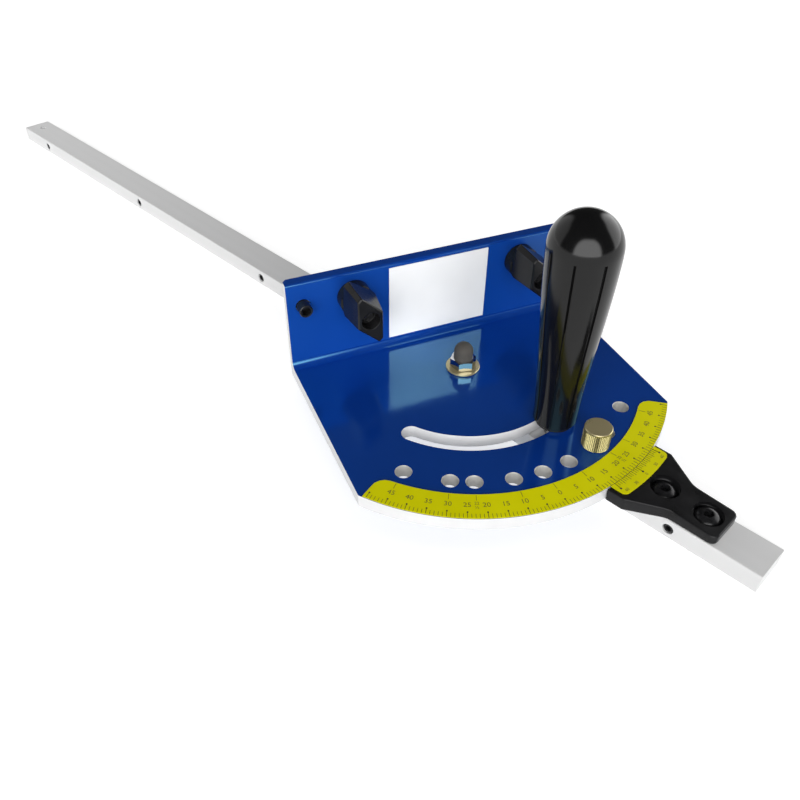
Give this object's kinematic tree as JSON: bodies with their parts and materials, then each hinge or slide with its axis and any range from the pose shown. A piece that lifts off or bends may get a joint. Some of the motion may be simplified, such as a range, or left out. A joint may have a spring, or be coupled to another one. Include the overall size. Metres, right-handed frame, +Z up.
{
  "type": "miter gauge",
  "caption": "Table saw miter gauge: long steel slot bar, swinging blue angle head with stop holes and scale, clamping handle, stop pin and vernier pointer.",
  "frame": {"origin": "on the head's pivot axis, at the underside of the bar", "axes": "+Y forward along the bar to its long far end, +X to the right, +Z up out of the bar's top face"},
  "size_m": [0.1775, 0.6096, 0.1197],
  "materials": {
    "bar_steel": "ground",
    "head_aluminium": "blue gloss coat, bare cut edges",
    "black_steel": "black oxide",
    "brass": "turned",
    "chrome": "polished",
    "black_plastic": "moulded",
    "handle_plastic": "gloss moulded",
    "yellow_label": "printed film",
    "white_label": "film"
  },
  "bodies": {
    "bar": {"miter_bar": "bar_steel", "pivot_stud": "bar_steel", "pivot_washer": "brass", "pivot_cap_nut": "chrome", "vernier_pointer": "black_plastic", "vernier_label": "yellow_label", "pointer_screw_front": "black_steel", "pointer_screw_rear": "black_steel"},
    "head": {"head_plate": "head_aluminium", "scale_label": "yellow_label", "name_label": "white_label", "fence_bolt_left": "black_steel", "fence_bolt_right": "black_steel"},
    "handle": {"handle_grip": "handle_plastic", "handle_stud": "bar_steel", "handle_washer": "bar_steel"},
    "pin": {"stop_pin": "brass"},
    "wing_left": {"wing_knob_left": "black_plastic"},
    "wing_right": {"wing_knob_right": "black_plastic"},
    "squaring_left": {"squaring_screw_left": "black_steel"},
    "squaring_right": {"squaring_screw_right": "black_steel"},
    "fit_1": {"bar_fit_screw_1": "black_steel"},
    "fit_2": {"bar_fit_screw_2": "black_steel"},
    "fit_3": {"bar_fit_screw_3": "black_steel"},
    "fit_4": {"bar_fit_screw_4": "black_steel"},
    "fit_5": {"bar_fit_screw_5": "black_steel"}
  },
  "joints": [
    {"name": "head_swing", "type": "hinge", "parent": "bar", "child": "head", "pos_m": [0, 0, 0], "axis": [0, 0, 1], "range_deg": [-28.5, 73.5]},
    {"name": "handle_turn", "type": "hinge", "parent": "bar", "child": "handle", "pos_m": [0, -0.0548, 0], "axis": [0, 0, 1], "range_deg": [0, 720]},
    {"name": "pin_lift", "type": "slide", "parent": "head", "child": "pin", "axis": [0, 0, 1], "range_m": [0, 0.016]},
    {"name": "wing_left_turn", "type": "hinge", "parent": "head", "child": "wing_left", "pos_m": [-0.0291, 0.0455, 0.05013], "axis": [-0.3827, -0.9239, 0], "range_deg": [0, 1080]},
    {"name": "wing_right_turn", "type": "hinge", "parent": "head", "child": "wing_right", "pos_m": [0.05275, 0.01159, 0.05013], "axis": [-0.3827, -0.9239, 0], "range_deg": [0, 1080]},
    {"name": "squaring_left_turn", "type": "hinge", "parent": "head", "child": "squaring_left", "pos_m": [-0.05183, 0.05491, 0.05013], "axis": [-0.3827, -0.9239, 0], "range_deg": [-360, 360]},
    {"name": "squaring_right_turn", "type": "hinge", "parent": "head", "child": "squaring_right", "pos_m": [0.07548, 0.00218, 0.05013], "axis": [-0.3827, -0.9239, 0], "range_deg": [-360, 360]},
    {"name": "fit_1_turn", "type": "hinge", "parent": "bar", "child": "fit_1", "pos_m": [-0.00923, -0.121, 0.00476], "axis": [-1, 0, 0], "range_deg": [-360, 360]},
    {"name": "fit_2_turn", "type": "hinge", "parent": "bar", "child": "fit_2", "pos_m": [-0.00923, 0.01452, 0.00476], "axis": [-1, 0, 0], "range_deg": [-360, 360]},
    {"name": "fit_3_turn", "type": "hinge", "parent": "bar", "child": "fit_3", "pos_m": [-0.00923, 0.14902, 0.00476], "axis": [-1, 0, 0], "range_deg": [-360, 360]},
    {"name": "fit_4_turn", "type": "hinge", "parent": "bar", "child": "fit_4", "pos_m": [-0.00923, 0.28351, 0.00476], "axis": [-1, 0, 0], "range_deg": [-360, 360]},
    {"name": "fit_5_turn", "type": "hinge", "parent": "bar", "child": "fit_5", "pos_m": [-0.00923, 0.414, 0.00476], "axis": [-1, 0, 0], "range_deg": [-360, 360]}
  ]
}
